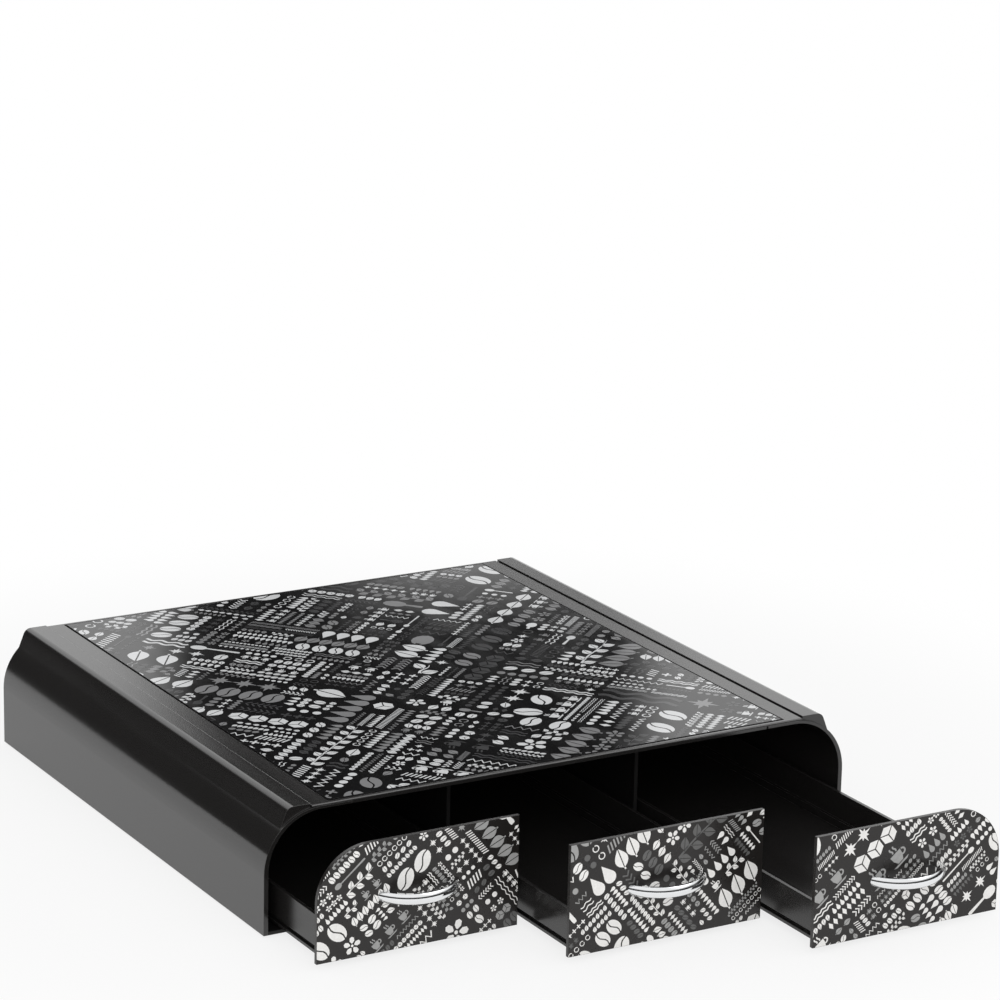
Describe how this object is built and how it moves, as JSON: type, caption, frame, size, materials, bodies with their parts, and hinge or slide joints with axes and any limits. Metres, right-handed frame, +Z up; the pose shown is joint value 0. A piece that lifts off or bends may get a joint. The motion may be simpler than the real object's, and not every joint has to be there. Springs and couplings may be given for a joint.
{
  "type": "coffee pod drawer",
  "caption": "Low coffee pod drawer unit: an arched housing with a flat printed top for a machine, and side-by-side trays with bow handles that slide out to the front.",
  "frame": {"origin": "centre of the middle foot's underside, on the surface that the drawer stands on", "axes": "+X to the right, +Y to the back, +Z up; the drawers open towards -Y"},
  "size_m": [0.341, 0.474, 0.0649],
  "materials": {
    "shell": "satin black",
    "inner": "matte black",
    "tray": "satin black",
    "print_sheet": "satin, printed in white",
    "front_print": "satin, printed in white",
    "chrome": "polished",
    "steel": "plain zinc",
    "rubber": "matte"
  },
  "bodies": {
    "housing": {"left_side_cover": "shell", "right_side_cover": "shell", "top_deck": "shell", "print_sheet": "print_sheet", "base_plate": "inner", "back_panel": "shell", "left_divider": "inner", "right_divider": "inner", "base_screws": "steel", "back_screws": "steel", "rubber_feet": "rubber"},
    "left_drawer": {"left_tray": "tray", "left_front_plate": "front_print", "left_handle": "chrome", "left_handle_screws": "steel"},
    "centre_drawer": {"centre_tray": "tray", "centre_front_plate": "front_print", "centre_handle": "chrome", "centre_handle_screws": "steel"},
    "right_drawer": {"right_tray": "tray", "right_front_plate": "front_print", "right_handle": "chrome", "right_handle_screws": "steel"}
  },
  "joints": [
    {"name": "left_drawer_slide", "type": "slide", "parent": "housing", "child": "left_drawer", "axis": [0, -1, 0], "range_m": [-0.0485, 0.1825]},
    {"name": "centre_drawer_slide", "type": "slide", "parent": "housing", "child": "centre_drawer", "axis": [0, -1, 0], "range_m": [-0.096, 0.135]},
    {"name": "right_drawer_slide", "type": "slide", "parent": "housing", "child": "right_drawer", "axis": [0, -1, 0], "range_m": [-0.1405, 0.0905]}
  ]
}
